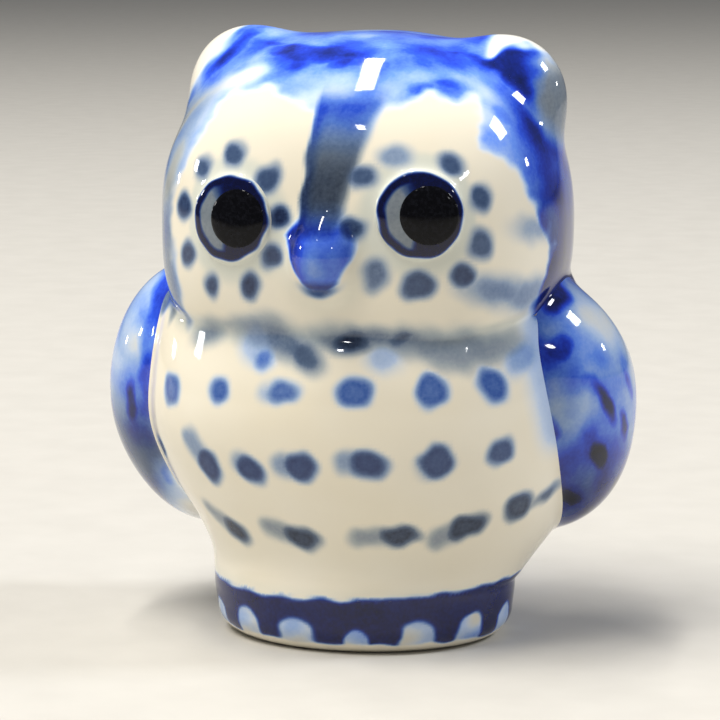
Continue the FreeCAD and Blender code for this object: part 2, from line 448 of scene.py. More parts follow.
@dataclass
class Caster:
    """Cuts one piece out of the clay as a closed mesh with crisp joins."""

    clay: Clay
    margin: float = 1.2          # room round the CAD piece for the slip fillets
    rounds: int = 4              # Newton steps that pull the vertices onto the walls
    slope_step: float = 0.02     # millimetres between the samples that give a slope
    damping: float = 1e-3        # keeps the steps short where two walls are nearly parallel

    def cut(self, node: Node, pitch: float) -> Skin:
        """Polygonises a piece on a grid and pulls each vertex onto the walls it lies on.

        Args:
            node: The piece.
            pitch: Grid spacing in millimetres.

        Returns:
            The closed mesh.
        """
        low, high = (np.array(corner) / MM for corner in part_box(node.value))
        low = np.floor((low - self.margin) / pitch) * pitch
        count = np.ceil((high + self.margin - low) / pitch).astype(int) + 1
        axes = [low[i] + pitch * np.arange(count[i]) for i in range(3)]
        walls = self.sample(node, axes)
        field_value = walls.max(axis=0)
        inside = field_value < 0
        cells = count - 1
        sums = np.zeros((cells.prod(), 3))
        hits = np.zeros(cells.prod())
        touch = np.zeros((len(walls), cells.prod()), bool)
        quads, labels = [], []
        for axis in range(3):
            near = [slice(None)] * 3
            far = [slice(None)] * 3
            near[axis], far[axis] = slice(0, -1), slice(1, None)
            crossing = inside[tuple(near)] != inside[tuple(far)]
            index = np.argwhere(crossing)
            others = [a for a in range(3) if a != axis]
            keep = np.all((index[:, others] > 0) & (index[:, others] < cells[others]), axis=1)
            index = index[keep]
            if not len(index):
                continue
            ahead = index.copy()
            ahead[:, axis] += 1
            start = field_value[tuple(index.T)]
            end = field_value[tuple(ahead.T)]
            t = start / (start - end)
            place = low + pitch * index.astype(float)
            place[:, axis] += pitch * t
            both = [w[tuple(index.T)] * (1 - t) + w[tuple(ahead.T)] * t for w in walls]
            label = np.argmax(both, axis=0)
            ring = []
            for step_a, step_b in ((0, 0), (1, 0), (1, 1), (0, 1)):
                cell = index.copy()
                cell[:, others[0]] -= step_a
                cell[:, others[1]] -= step_b
                flat = np.ravel_multi_index(tuple(cell.T), tuple(cells))
                np.add.at(sums, flat, place)
                np.add.at(hits, flat, 1)
                touch[label, flat] = True
                ring.append(flat)
            ring = np.column_stack(ring)
            flip = (start > 0) != (axis == 1)
            ring[flip] = ring[flip][:, ::-1]
            quads.append(ring)
            labels.append(label)
        quads, labels = np.concatenate(quads), np.concatenate(labels)
        used, compact = np.unique(quads, return_inverse=True)
        points = sums[used] / hits[used, None]
        points = self.settle(node, points, touch[:, used], pitch)
        return Skin(points, compact.reshape(-1, 4), labels)

    def sample(self, node: Node, axes: list[Array]) -> Array:
        """Values of a piece's walls on the whole grid, slab by slab to save memory."""
        x, y = np.meshgrid(axes[0], axes[1], indexing="ij")
        plane = np.column_stack((x.ravel(), y.ravel()))
        slabs = []
        for z in axes[2]:
            p = np.column_stack((plane, np.full(len(plane), z)))
            slabs.append([w.reshape(x.shape) for w in self.clay.walls(node, p)])
        return np.moveaxis(np.array(slabs), 0, -1)

    def settle(self, node: Node, points: Array, touch: Array, pitch: float) -> Array:
        """Moves vertices by least-norm Newton steps until they lie on every wall they touch."""
        start = points.copy()
        step = self.slope_step
        for turn in range(self.rounds):
            values = np.array(self.clay.walls(node, points)) * touch
            if turn % 2 == 0:    # the slopes change little, so they serve for two steps
                jacobian = np.empty((len(points), len(touch), 3))
                for axis in range(3):
                    shift = np.zeros(3)
                    shift[axis] = step
                    ahead = np.array(self.clay.walls(node, points + shift))
                    behind = np.array(self.clay.walls(node, points - shift))
                    jacobian[:, :, axis] = ((ahead - behind) / (2 * step) * touch).T
            gram = jacobian @ np.swapaxes(jacobian, 1, 2) + np.eye(len(touch)) * self.damping
            push = np.linalg.solve(gram, values.T[:, :, None])
            points = points - (np.swapaxes(jacobian, 1, 2) @ push)[:, :, 0]
            points = start + np.clip(points - start, -pitch, pitch)
        return points


@dataclass
class EnamelDrop:
    """A pupil: a drop of enamel that lies on the eye disc, thick to its rounded edge."""

    clay: Clay
    rings: int = 14
    spokes: int = 72
    sunk: float = 0.03           # how far its underside bites into the glaze
    edge_power: float = 4.0      # the higher, the flatter the drop is on top
    rounds: int = 12             # steps that lower the drop's base onto the glaze
    step_share: float = 0.9      # share of the remaining gap that each step takes

    def cast(self, node: Node) -> Skin:
        """Builds the drop as a closed mesh.

        Args:
            node: The pupil.

        Returns:
            The mesh: label 0 is its glossy top and 1 its underside.
        """
        pad = self.clay.pads[node]
        # The rings crowd towards the edge, where the drop curves down.
        share = np.sin(np.linspace(0.0, 1.0, self.rings + 1)[1:] * math.pi / 2)
        angle = np.arange(self.spokes) * 2 * math.pi / self.spokes
        across = np.outer(share, np.cos(angle)).ravel() * pad.size[0]
        upward = np.outer(share, np.sin(angle)).ravel() * pad.size[1]
        flat = np.column_stack((np.append(0.0, across), np.append(0.0, upward)))
        out = pad.turn[:, 2]
        base = np.array(pad.centre) + flat @ pad.turn[:, :2].T
        for _ in range(self.rounds):
            base = base - self.step_share * self.clay.skin(base)[:, None] * out
        spread = np.append(0.0, np.repeat(share, self.spokes))
        height = self.clay.pupil_dome * np.sqrt(1.0 - spread**self.edge_power)
        points = np.concatenate((base + height[:, None] * out, base - self.sunk * out))
        quads, labels = [], []
        under = len(flat)
        for ring in range(self.rings):
            for spoke in range(self.spokes):
                after = (spoke + 1) % self.spokes
                a, b = 1 + ring * self.spokes + spoke, 1 + ring * self.spokes + after
                if ring == 0:
                    faces = ((0, a, b, b), (under, under + b, under + a, under + a))
                else:
                    c, d = a - self.spokes, b - self.spokes
                    faces = ((c, a, b, d), (under + d, under + b, under + a, under + c))
                quads.extend(faces)
                labels.extend((0, 1))
                if ring == self.rings - 1:
                    quads.append((a, under + a, under + b, b))
                    labels.append(0)
        return Skin(points, np.array(quads), np.array(labels))


# ---------------------------------------------------------------- the painter's brush
class Hold(Enum):
    """How the painter finds a place: level round the owl, or up from the head's middle."""

    LEVEL = "millimetres above the table"
    CROWN = "degrees above the head's middle"


@dataclass(frozen=True)
class Touch:
    """One touch of a loaded brush, placed as a painter turns the owl in the hand."""

    turn: float          # degrees round from the front towards the owl's left
    height: float        # millimetres or degrees, as hold says
    long: float          # half length along the stroke, millimetres
    wide: float          # half width across it
    tilt: float = 0.0    # degrees that the stroke climbs towards the owl's left
    load: float = 1.3    # how much pigment the brush leaves
    tail: float = 0.0    # length of the pale drag that leads into the touch
    soft: float = 0.25   # width of the wet edge in millimetres
    hold: Hold = Hold.LEVEL


@dataclass
class Brush:
    """Lays touches and washes on the clay's skin."""

    clay: Clay
    axis: tuple[float, float, float] = (0.0, 0.9, 16.8)   # the head's middle over the foot
    tremble: float = 0.06        # unevenness of a touch's outline in millimetres
    tremble_length: float = 1.3
    tail_share: float = 0.48     # pigment in the pale drag against the touch itself
    tail_width: float = 0.8      # the drag's width against the touch's
    tail_soft: float = 1.3       # and its edge's softness
    pooled: float = 0.08         # how much more pigment dries just inside the edge
    pooled_place: float = 0.22   # millimetres in from the edge
    pooled_width: float = 0.14
    overlap: float = 0.25        # share of the weaker touch that adds to the stronger
    reach: float = 1.3           # how far the trembling edge may go, against the radius
    far_side: float = 1.6        # millimetres below a touch where the owl's far side starts

    def anchor(self, touch: Touch) -> tuple[Array, Array]:
        """Finds a touch's place on the skin and the axes of its tangent plane.

        Args:
            touch: The touch.

        Returns:
            The point, and a 3 x 3 matrix with columns towards the owl's left, up and out.
        """
        angle = math.radians(touch.turn)
        lift = math.radians(touch.height) if touch.hold is Hold.CROWN else 0.0
        level = math.cos(lift)
        away = np.array([math.sin(angle) * level, -math.cos(angle) * level, math.sin(lift)])
        start = np.array(self.axis)
        if touch.hold is Hold.LEVEL:
            start[2] = touch.height
        point = self.clay.cast(self.clay.skin, start, away)
        out = self.clay.normal_of(self.clay.skin, point[None])[0]
        side = unit(np.cross(np.array([0.0, 0.0, 1.0]), out))
        return point, np.column_stack((side, np.cross(out, side), out))

    def lay(self, p: Array, touches: list[Touch]) -> Array:
        """Pigment of many touches, where a wet touch runs into the one before.

        Args:
            p: Points on the skin, N x 3 in millimetres.
            touches: The touches, in the order in which they are laid.

        Returns:
            Pigment at each point.
        """
        total = np.zeros(len(p))
        waves = [ripple(p, self.tremble_length, seed) for seed in (11, 12)]
        wobble = np.column_stack(waves) * self.tremble
        for touch in touches:
            point, axes = self.anchor(touch)
            radius = self.reach * max(touch.long, touch.wide)
            reach = radius + touch.tail + 2 * touch.soft
            near = np.nonzero(np.linalg.norm(p - point, axis=1) < reach)[0]
            local = (p[near] - point) @ axes
            flat = local[:, :2] + wobble[near]
            c, s = math.cos(math.radians(touch.tilt)), math.sin(math.radians(touch.tilt))
            along = flat[:, 0] * c + flat[:, 1] * s
            across = flat[:, 1] * c - flat[:, 0] * s
            size = min(touch.long, touch.wide)
            gap = (np.hypot(along / touch.long, across / touch.wide) - 1.0) * size
            ink = 1.0 - ease(-touch.soft, touch.soft, gap)
            rim = np.exp(-(((gap + self.pooled_place) / self.pooled_width) ** 2))
            ink *= 1.0 - self.pooled / 2 + self.pooled * rim
            if touch.tail:
                drag = along - np.clip(along, -touch.tail, 0.0)
                gap = np.hypot(drag, across) - self.tail_width * touch.wide
                soft = self.tail_soft * touch.soft
                ink = np.maximum(ink, self.tail_share * (1.0 - ease(-soft, soft, gap)))
            layer = touch.load * ink * (local[:, 2] > -self.far_side)
            both = self.overlap * np.minimum(total[near], layer)
            total[near] = np.maximum(total[near], layer) + both
        return total

    def turn_of(self, p: Array) -> Array:
        """Degrees round from the front towards the owl's left at each point."""
        return np.degrees(np.arctan2(p[:, 0], -(p[:, 1] - self.axis[1])))


@dataclass
class Paint:
    """Pigment on a piece's vertices."""

    cobalt: Array        # blue, 0 bare to about 2 nearly black
    slate: Array         # the greyer brushwork, 0 to about 1.5
    mottle: Array        # how unevenly the wash dried, 0 to 1
    wet_mix: ClassVar[float] = 0.2    # share of the weaker blue that adds to the stronger

    def over(self, other: "Paint") -> "Paint":
        """This paint laid wet over another."""
        cobalt = np.maximum(self.cobalt, other.cobalt)
        cobalt = cobalt + self.wet_mix * np.minimum(self.cobalt, other.cobalt)
        slate = np.maximum(self.slate, other.slate)
        return Paint(cobalt, slate, np.maximum(self.mottle, other.mottle))


def crown(turn: float, lift: float, long: float, wide: float, tilt: float, load: float) -> Touch:
    """A touch of the crown's wash, which is wetter and softer-edged than a dot."""
    wet_edge = 0.45
    return Touch(turn, lift, long, wide, tilt, load, soft=wet_edge, hold=Hold.CROWN)


@dataclass
class Decoration:
    """The owl's pattern: crown, face, dotted breast, wings, tail and the lappets on the foot.

    In the methods, ease() draws a soft edge between two heights in millimetres or two turns
    in degrees, and the factors before it are loads of pigment, as in Paint. A ripple() keeps
    an edge or a wash from looking ruled, and its last argument is its seed.
    """

    clay: Clay
    brush: Brush

    # Breast: three rows of dots from the owl's right wing round to the left one; the heavier
    # loads of the two lower rows are painted shade.
    breast_dots: tuple[Touch, ...] = (
        Touch(-54, 10.4, 0.62, 0.72, 80, 1.15),
        Touch(-33.5, 10.7, 0.55, 0.50, 75, 1.15),
        Touch(-12, 10.9, 0.74, 0.46, 4, 1.05, tail=0.7),
        Touch(10, 11.0, 0.74, 0.60, 0, 1.15),
        Touch(32, 11.0, 0.68, 0.66, 0, 1.15),
        Touch(50, 11.1, 0.76, 0.58, -50, 1.2),
        Touch(-69, 7.7, 0.45, 0.50, 70, 1.2),
        Touch(-40, 7.5, 0.76, 0.62, -50, 1.4, tail=1.3),
        Touch(-24, 7.6, 0.72, 0.54, -30, 1.4, tail=0.5),
        Touch(-7, 7.9, 0.66, 0.60, 0, 1.4, tail=0.7),
        Touch(14, 8.1, 0.78, 0.54, -8, 1.4, tail=0.9),
        Touch(33.5, 8.2, 0.74, 0.70, 40, 1.3, tail=0.3),
        Touch(52, 8.5, 0.58, 0.54, 30, 1.2),
        Touch(-40, 4.75, 0.72, 0.44, -32, 1.45, tail=1.5),
        Touch(-11, 4.8, 0.80, 0.50, -14, 1.4, tail=1.4),
        Touch(24, 5.05, 0.80, 0.50, 6, 1.4, tail=1.5),
        Touch(46, 5.35, 0.82, 0.56, 24, 1.4, tail=1.3),
        Touch(62, 6.0, 0.68, 0.64, 30, 1.35),
        Touch(72, 6.35, 0.75, 0.26, 25, 1.1),
    )
    # Collar: greyed blotches along the neck seam, some of them bluer; the broad grey band they
    # make is partly painted shade in the neck crease.
    collar_grey_and_crease_shade: tuple[Touch, ...] = (
        Touch(-42, 12.85, 0.85, 0.42, 22, 0.65, soft=0.40),
        Touch(-31, 13.35, 1.0, 0.30, 0, 0.35, soft=0.40),
        Touch(-23, 13.1, 1.2, 0.60, -10, 0.52, soft=0.48),
        Touch(-14, 12.75, 1.2, 0.62, -24, 0.75, soft=0.48),
        Touch(-6, 12.3, 0.80, 0.50, -35, 0.95, soft=0.40),
        Touch(2, 12.95, 0.9, 0.42, 0, 0.62, soft=0.45),
        Touch(8, 12.85, 0.80, 0.46, 0, 1.20, soft=0.36),
        Touch(16, 13.1, 0.9, 0.36, 0, 0.72, soft=0.42),
        Touch(24, 13.05, 0.60, 0.30, 0, 0.95, soft=0.34),
        Touch(30, 12.8, 1.2, 0.56, -5, 0.62, soft=0.48),
        Touch(42, 12.5, 1.5, 0.76, 0, 0.60, soft=0.52),
        Touch(54, 12.6, 1.2, 0.56, 5, 0.55, soft=0.52),
    )
    collar_blue: tuple[Touch, ...] = (
        Touch(-23, 12.6, 0.85, 0.72, -40, 0.42, soft=0.48),
        Touch(-19.5, 12.05, 0.45, 0.40, 0, 0.80, soft=0.34),
        Touch(19, 12.3, 0.70, 0.55, 0, 0.45, soft=0.44),
        Touch(60, 12.1, 0.90, 0.55, 30, 0.60, soft=0.45),
    )
    # Face: dots round each eye, the smears at the cheeks and the blot under the beak.
    face_dots: tuple[Touch, ...] = (
        Touch(-30, 20.1, 0.55, 0.46, 80, 1.15),
        Touch(-40, 19.5, 0.50, 0.40, 70, 1.10),
        Touch(-18, 19.2, 0.62, 0.48, 60, 1.20),
        Touch(-13.5, 17.8, 0.46, 0.44, 0, 1.55),
        Touch(-15.5, 16.2, 0.50, 0.40, 70, 1.35),
        Touch(-23, 15.0, 0.54, 0.42, 85, 1.45),
        Touch(-36, 14.9, 0.48, 0.36, 85, 1.30),
        Touch(-44, 16.1, 0.56, 0.44, 80, 1.35),
        Touch(-46, 18.0, 0.56, 0.50, 85, 1.35),
        Touch(22, 20.2, 0.62, 0.44, 0, 0.60, soft=0.30),
        Touch(12, 19.4, 0.58, 0.46, 0, 1.10, soft=0.30),
        Touch(38, 19.9, 0.52, 0.40, -35, 1.15),
        Touch(45, 18.6, 0.54, 0.44, 80, 1.15),
        Touch(44.5, 16.8, 0.60, 0.52, 85, 1.10, soft=0.28),
        Touch(40, 15.6, 0.50, 0.46, 0, 1.35),
        Touch(28, 15.2, 0.66, 0.54, 0, 1.25, soft=0.28),
        Touch(16, 15.6, 0.66, 0.50, 80, 0.95, soft=0.32),
        Touch(9, 17.4, 0.58, 0.44, -15, 1.35, soft=0.28),
    )
    face_grey: tuple[Touch, ...] = (
        Touch(22, 20.2, 0.62, 0.44, 0, 0.60, soft=0.30),
        Touch(-56, 14.4, 0.90, 0.55, 80, 0.55, soft=0.40),
        Touch(50, 14.9, 1.3, 0.55, -8, 0.90, soft=0.50),
        Touch(62, 14.6, 1.3, 0.60, 10, 0.80, soft=0.50),
        Touch(63, 17.2, 1.1, 0.48, -6, 0.65, soft=0.45),
        Touch(0, 14.9, 0.66, 0.36, 0, 1.25, soft=0.30),
    )
    # Crown: deep touches and pale gaps in the wet wash, by turn and lift.
    crown_deep: tuple[Touch, ...] = (
        crown(-62, 61, 1.1, 0.42, 0, 1.05),
        crown(-42, 61, 1.4, 0.60, 5, 1.10),
        crown(-20, 61, 1.8, 0.80, 0, 1.00),
        crown(4, 64, 1.7, 0.75, 0, 1.00),
        crown(-24, 54, 1.0, 0.42, 20, 1.05),
        crown(-2, 57, 0.9, 0.45, 40, 1.00),
        crown(10, 58, 0.8, 0.50, 0, 0.95),
        crown(30, 55, 0.9, 0.45, 0, 0.80),
        crown(33, 44, 0.62, 0.42, 20, 1.10),
        crown(46, 45, 0.95, 0.42, -8, 0.95),
        crown(60, 57, 1.2, 0.24, -12, 1.15),
        crown(68, 50, 1.2, 0.45, -35, 1.25),
        crown(72, 42, 0.9, 0.60, -40, 1.15),
        crown(60, 33, 0.9, 0.45, -60, 0.95),
        crown(72, 24, 1.6, 0.60, -75, 1.05),
        crown(80, 12, 1.5, 0.55, -85, 1.15),
        crown(64, 4, 0.9, 0.45, -10, 1.05),
        crown(-60, 27, 1.2, 0.40, 70, 0.55),
        crown(110, 40, 1.8, 0.7, -20, 1.05),
        crown(135, 62, 1.6, 0.8, 10, 1.10),
        crown(160, 38, 2.0, 0.7, 15, 1.05),
        crown(-165, 20, 1.8, 0.8, -10, 1.00),
        crown(-135, 45, 1.9, 0.7, -15, 1.10),
        crown(-110, 22, 1.6, 0.7, 30, 1.00),
        crown(150, 8, 1.8, 0.7, 0, 1.00),
        crown(-150, 70, 1.5, 0.8, 0, 1.05),
    )
    crown_pale: tuple[Touch, ...] = (
        crown(-44, 47, 1.5, 0.62, 25, 0.85),
        crown(-8, 50, 0.9, 0.40, 0, 0.40),
        crown(0, 46, 0.8, 0.40, 0, 0.45),
        crown(20, 47, 0.9, 0.35, 0, 0.25),
        crown(57, 41, 0.8, 0.32, -50, 0.65),
        crown(-56, 19, 1.8, 0.50, 80, 0.60),
        crown(73, 34, 0.9, 0.25, -60, 0.50),
        crown(120, 20, 1.2, 0.5, 30, 0.55),
        crown(-175, 52, 1.3, 0.6, 20, 0.60),
        crown(-125, 8, 1.3, 0.5, 10, 0.55),
        crown(168, 4, 1.0, 0.5, -10, 0.60),
    )
    # Wings: the deep spots and the feather strokes.
    left_wing_marks: tuple[Touch, ...] = (
        Touch(77, 14.3, 1.1, 0.62, 35, 1.45, soft=0.45),
        Touch(70, 12.4, 0.75, 0.62, 20, 0.95, soft=0.50),
        Touch(63, 12.2, 0.60, 0.50, 0, 0.95, soft=0.45),
        Touch(67.5, 9.2, 0.72, 0.48, -50, 1.25, soft=0.35),
        Touch(76, 10.9, 0.90, 0.50, -30, 0.85, soft=0.50),
        Touch(81, 9.9, 1.25, 0.34, -52, 1.35, soft=0.30),
        Touch(89, 8.9, 0.90, 0.34, -60, 1.35, soft=0.30),
        Touch(83, 7.7, 0.95, 0.44, -52, 1.35, soft=0.32),
        Touch(82, 6.0, 1.0, 0.42, -30, 1.35, soft=0.40),
        Touch(90, 10.6, 0.8, 0.35, -60, 1.25, soft=0.35),
        Touch(100, 12.4, 1.1, 0.30, -60, 1.35, soft=0.28),
        Touch(106, 10.6, 1.3, 0.32, -62, 1.60, soft=0.26),
        Touch(104, 8.0, 1.2, 0.36, -62, 1.60, soft=0.28),
        Touch(114, 8.9, 1.1, 0.32, -66, 1.50, soft=0.28),
        Touch(98, 6.0, 0.9, 0.36, -55, 1.45, soft=0.30),
    )
    right_wing_marks: tuple[Touch, ...] = (
        Touch(-91, 9.7, 0.80, 0.32, 84, 1.15, soft=0.30),
        Touch(-78, 9.3, 1.1, 0.36, 84, 1.10, soft=0.36),
        Touch(-80, 6.2, 0.9, 0.45, 70, 1.05, soft=0.45),
        Touch(-101, 11.8, 1.1, 0.32, 70, 1.35, soft=0.28),
        Touch(-105, 9.6, 1.2, 0.34, 74, 1.55, soft=0.26),
        Touch(-98, 7.0, 1.0, 0.36, 74, 1.45, soft=0.30),
        Touch(-113, 8.2, 1.1, 0.32, 72, 1.50, soft=0.28),
    )
    lappets: int = 15
    lappet_start: float = 9.0    # degrees from the front to the middle of the first one
    head_radius: float = 7.6     # turns degrees round the head to millimetres
    foot_radius: float = 6.0     # and degrees round the foot
    strength: float = 0.82       # pigment in the crown's touches against what they say
    soaked: float = 0.15         # share of the weaker of wash and mark that adds to the other

    def soak(self, wash: Array, marks: Array) -> Array:
        """Pigment of marks laid into a wash that is still wet."""
        return np.maximum(wash, marks) + self.soaked * np.minimum(wash, marks)

    def glazed_side(self, p: Array) -> Array:
        """1 on the outside of the owl and 0 in its hollow."""
        return ease(-0.6, -0.25, self.clay.skin(p))

    def wash_field(self, p: Array) -> Array:
        """Distance in millimetres past the ragged edge of the blue hood round the face."""
        turn = self.brush.turn_of(p)
        z = p[:, 2]
        left_z = (13.0, 15.5, 16.4, 17.5, 18.75, 19.8, 20.5, 21.2, 22.4)
        left_turn = (60.0, 70.0, 73.0, 66.0, 61.0, 55.0, 48.0, 49.0, 52.0)
        right_z = (13.0, 14.4, 16.0, 18.0, 19.5, 20.5, 21.4, 22.4)
        right_turn = (50.0, 49.0, 52.0, 52.0, 49.0, 46.0, 45.0, 44.0)
        left_edge = np.interp(z, left_z, left_turn)
        right_edge = np.interp(z, right_z, right_turn)
        edge = np.where(turn > 0, left_edge, right_edge)
        side = (np.abs(turn) - edge) * math.radians(self.head_radius)
        brow_turn = (-60.0, -47.0, -30.0, -19.0, -6.0, 4.0, 18.0, 35.0, 50.0, 60.0)
        brow_z = (22.2, 22.4, 22.6, 22.4, 22.0, 21.7, 21.9, 22.4, 22.3, 21.8)
        top = (z - np.interp(turn, brow_turn, brow_z)) * 1.3
        ragged = ripple(p, 1.5, 21) * 0.16 + ripple(p, 0.7, 22) * 0.06
        return smooth_max(side, top, 0.6) + ragged

    def hood(self, p: Array) -> Paint:
        """The blue wash over the crown, the ears, the sides and the back of the head."""
        turn, z = self.brush.turn_of(p), p[:, 2]
        cover = ease(-0.28, 0.42, self.wash_field(p))
        under_crown = 1 - ease(21.5, 23.5, z)
        left_side = ease(52, 72, turn) * (1 - ease(110, 150, turn)) * under_crown
        right_side = ease(42, 56, -turn) * (1 - ease(80, 100, -turn)) * under_crown
        top = ease(22.3, 23.6, z) * (p[:, 1] < self.brush.axis[1])
        load = 0.46 + 0.42 * left_side - 0.20 * right_side + 0.16 * top
        load = load + 0.12 * ease(0, 25, turn) * top + 0.10 * ripple(p, 2.4, 31)
        touches = self.strength * self.brush.lay(p, list(self.crown_deep))
        pale = self.brush.lay(p, list(self.crown_pale))
        load = self.soak(load, touches)
        load = load * (1 - 0.8 * np.clip(pale, 0, 0.85))
        # The grey on the hood's sides, heavier lower down, is partly grey brushwork and partly
        # painted shade at the edges of the face.
        low = 1 - ease(16.5, 19.5, z)
        slate = cover * (right_side * (0.45 + 0.35 * low) + left_side * (0.40 + 0.60 * low))
        fade = ease(12.9, 13.9, z + 0.35 * ripple(p, 1.6, 33))
        paint = Paint(cover * load * fade, slate * fade, 0.55 * cover * fade)
        return self.left_ear(p, self.right_ear(p, paint))

    def right_ear(self, p: Array, under: Paint) -> Paint:
        """Adds the owl's right ear to the hood: a white rim and one blue stroke inside it."""
        pad = self.clay.pads[Node.RIGHT_EAR]
        q = p - np.array(pad.centre)
        near = 1 - ease(0.3, 1.2, pad.distance(p))
        lean = 0.6 * q[:, 2] - 0.8 * q[:, 0] + 0.1 * ripple(p, 1.2, 71)
        front = 1 - ease(-0.6, 0.6, q[:, 1])
        rim = near * ease(1.30, 1.75, lean) * (1 - ease(1.2, 2.4, q[:, 1]))
        stroke = near * np.exp(-(((lean - 0.95) / 0.48) ** 2)) * front
        cobalt = np.maximum(under.cobalt, 0.92 * stroke) * (1 - 0.92 * rim)
        return Paint(cobalt, under.slate * (1 - rim), under.mottle * (1 - 0.6 * rim))

    def left_ear(self, p: Array, under: Paint) -> Paint:
        """Adds the owl's left ear: a navy front, a white top rim and a grey outer edge."""
        pad = self.clay.pads[Node.LEFT_EAR]
        q = p - np.array(pad.centre)
        wave = 0.12 * ripple(p, 1.2, 72)
        near = 1 - ease(0.3, 1.2, pad.distance(p))
        front = near * (1 - ease(-0.9, 0.3, q[:, 1] + wave))
        reach = np.hypot(q[:, 0] - 0.7, q[:, 2]) + wave
        top = ease(0.2, 0.9, q[:, 2] - 0.25 * q[:, 0]) * ease(-1.0, -0.3, q[:, 0])
        # The white top rim is unpainted clay and partly a painted highlight.
        rim = near * ease(1.80, 2.15, reach) * top * (1 - ease(1.2, 2.4, q[:, 1]))
        edge = near * ease(0.9, 1.9, q[:, 0] + wave) * (1 - rim) * (1 - ease(0.5, 2.0, q[:, 1]))
        navy = front * ease(-1.5, -0.5, q[:, 0] + wave) * (1 - rim)
        cobalt = np.maximum(under.cobalt * (1 - 0.92 * rim), 1.2 * navy) * (1 - 0.86 * edge)
        grey = edge * (0.78 - 0.45 * ease(0.6, 1.6, q[:, 2]))
        slate = np.maximum(under.slate * (1 - rim), np.maximum(grey, 0.30 * navy))
        return Paint(cobalt, slate, under.mottle * (1 - 0.6 * rim))

    def brow(self, p: Array) -> Paint:
        """The greyed stripe down the brow, crisp on the owl's right, and the blue beak below."""
        x, z = p[:, 0] + 0.05 * ripple(p, 1.1, 41), p[:, 2]
        front = p[:, 1] < 0
        low_edge = -0.6 - 0.09 * (22.0 - z)
        high_edge = 0.72 + 0.33 * np.maximum(z - 18.3, 0.0)
        stripe = ease(-0.12, 0.12, x - low_edge) * (1 - ease(-0.30, 0.34, x - high_edge))
        stripe = stripe * ease(16.6, 17.4, z) * (1 - ease(21.9, 23.2, z)) * front
        grey = 1.34 - 0.95 * ease(19.0, 22.2, z) - 0.55 * (1 - ease(17.0, 18.4, z))
        blue = 0.18 + 0.42 * ease(20.0, 22.0, z) + 0.50 * (1 - ease(17.2, 18.6, z))
        edge = 0.25 * np.exp(-(((x - low_edge - 0.2) / 0.22) ** 2))
        paint = Paint(stripe * (blue + edge), stripe * grey, stripe * 0.4)
        # The beak's blue is a rounded triangle, paler in its middle, with a dark tip.
        narrow = np.interp(z, (14.9, 15.3, 16.2, 17.1, 17.9), (0.25, 0.72, 1.18, 1.40, 0.95))
        beak = (1 - ease(-0.16, 0.16, np.abs(x) - narrow)) * ease(14.85, 15.15, z)
        beak = beak * (1 - ease(17.2, 18.0, z)) * front
        middle = np.exp(-(((x - 0.1) / 0.62) ** 2) - ((z - 16.2) / 0.9) ** 2)
        deep = 1 - ease(-1.25, -0.5, x)
        tip = 1 - ease(15.1, 15.5, z)
        blue = 0.78 - 0.28 * middle + 0.42 * deep + 0.08 * ripple(p, 1.2, 95)
        grey = 0.28 + 0.25 * ease(16.9, 17.6, z) + 0.75 * tip
        return Paint(beak * blue, beak * grey, beak * 0.3).over(paint)

    def band(self, p: Array) -> Paint:
        """The foot's dark border with a row of pale lappets under it."""
        turn = self.brush.turn_of(p)
        turn_foot = np.degrees(np.arctan2(p[:, 0], -p[:, 1] / self.clay.foot.depth_ratio))
        z = p[:, 2] + 0.05 * ripple(p, 1.2, 51)
        top = 2.28 + 0.25 * ease(20, 70, np.abs(turn)) + 0.18 * np.sin(np.radians(turn))
        cover = (1 - ease(-0.12, 0.14, z - top)) * ease(0.36, 0.52, z)
        spacing = 360.0 / self.lappets
        place = (turn_foot - self.lappet_start + spacing / 2) % spacing - spacing / 2
        number = np.round((turn_foot - self.lappet_start) / spacing).astype(int) % self.lappets
        rng = np.random.default_rng(52)
        widths = rng.uniform(0.70, 0.86, self.lappets)
        heads = rng.uniform(1.45, 1.68, self.lappets)
        widths[0], heads[0] = 0.55, 1.15
        across = place * math.radians(self.foot_radius) / widths[number]
        climb = (z - 0.15) / (heads[number] - 0.15)
        shape = np.hypot(across, np.maximum(climb, 0.0) ** 2.2) - 1.0
        pale = 1 - ease(-0.24, 0.16, shape + 0.05 * ripple(p, 0.9, 53))
        blush = 0.28 + 0.22 * ripple(p, 1.7, 54)
        load = 0.98 * (1 - pale) + 0.7 * np.clip(blush, 0.05, 0.6) * pale
        # The border's near-black grey is partly its own dark pigment and partly painted shade.
        return Paint(cover * load, cover * (1.25 * (1 - pale) + 0.18 * pale), cover * 0.3)

    def back_dots(self) -> list[Touch]:
        """Rows of dots that go on round the back between the wings."""
        rng = np.random.default_rng(61)
        touches = []
        for height, turns in ((11.2, range(128, 233, 17)), (8.6, range(136, 225, 17))):
            for turn in turns:
                shift = rng.uniform(-1, 1, 4)
                long, wide = 0.62 + 0.1 * shift[0], 0.5 + 0.06 * shift[1]
                tilt = 25 * shift[2]
                touches.append(Touch(turn, height + 0.2 * shift[3], long, wide, tilt, 1.25))
        for turn in (104, 124, 144, 216, 236, 256):
            shift = rng.uniform(-1, 1, 2)
            touches.append(Touch(turn, 5.0 + 0.2 * shift[0], 0.66, 0.42, 12 * shift[1], 1.3, 1.0))
        return touches

    def ink(
        self, p: Array, touches: list[Touch], blue: Array | float, grey: Array | float
    ) -> Paint:
        """Touches of a mixed pigment.

        Args:
            p: Points on the skin.
            touches: Where the brush goes.
            blue: Share of cobalt in the mix.
            grey: Share of the greyer slate in it.

        Returns:
            The paint.
        """
        load = self.brush.lay(p, touches)
        return Paint(load * blue, load * grey, np.zeros(len(p)))

    def shell(self, p: Array) -> Paint:
        """Paint on the head, body, foot, ears and beak."""
        z = p[:, 2]
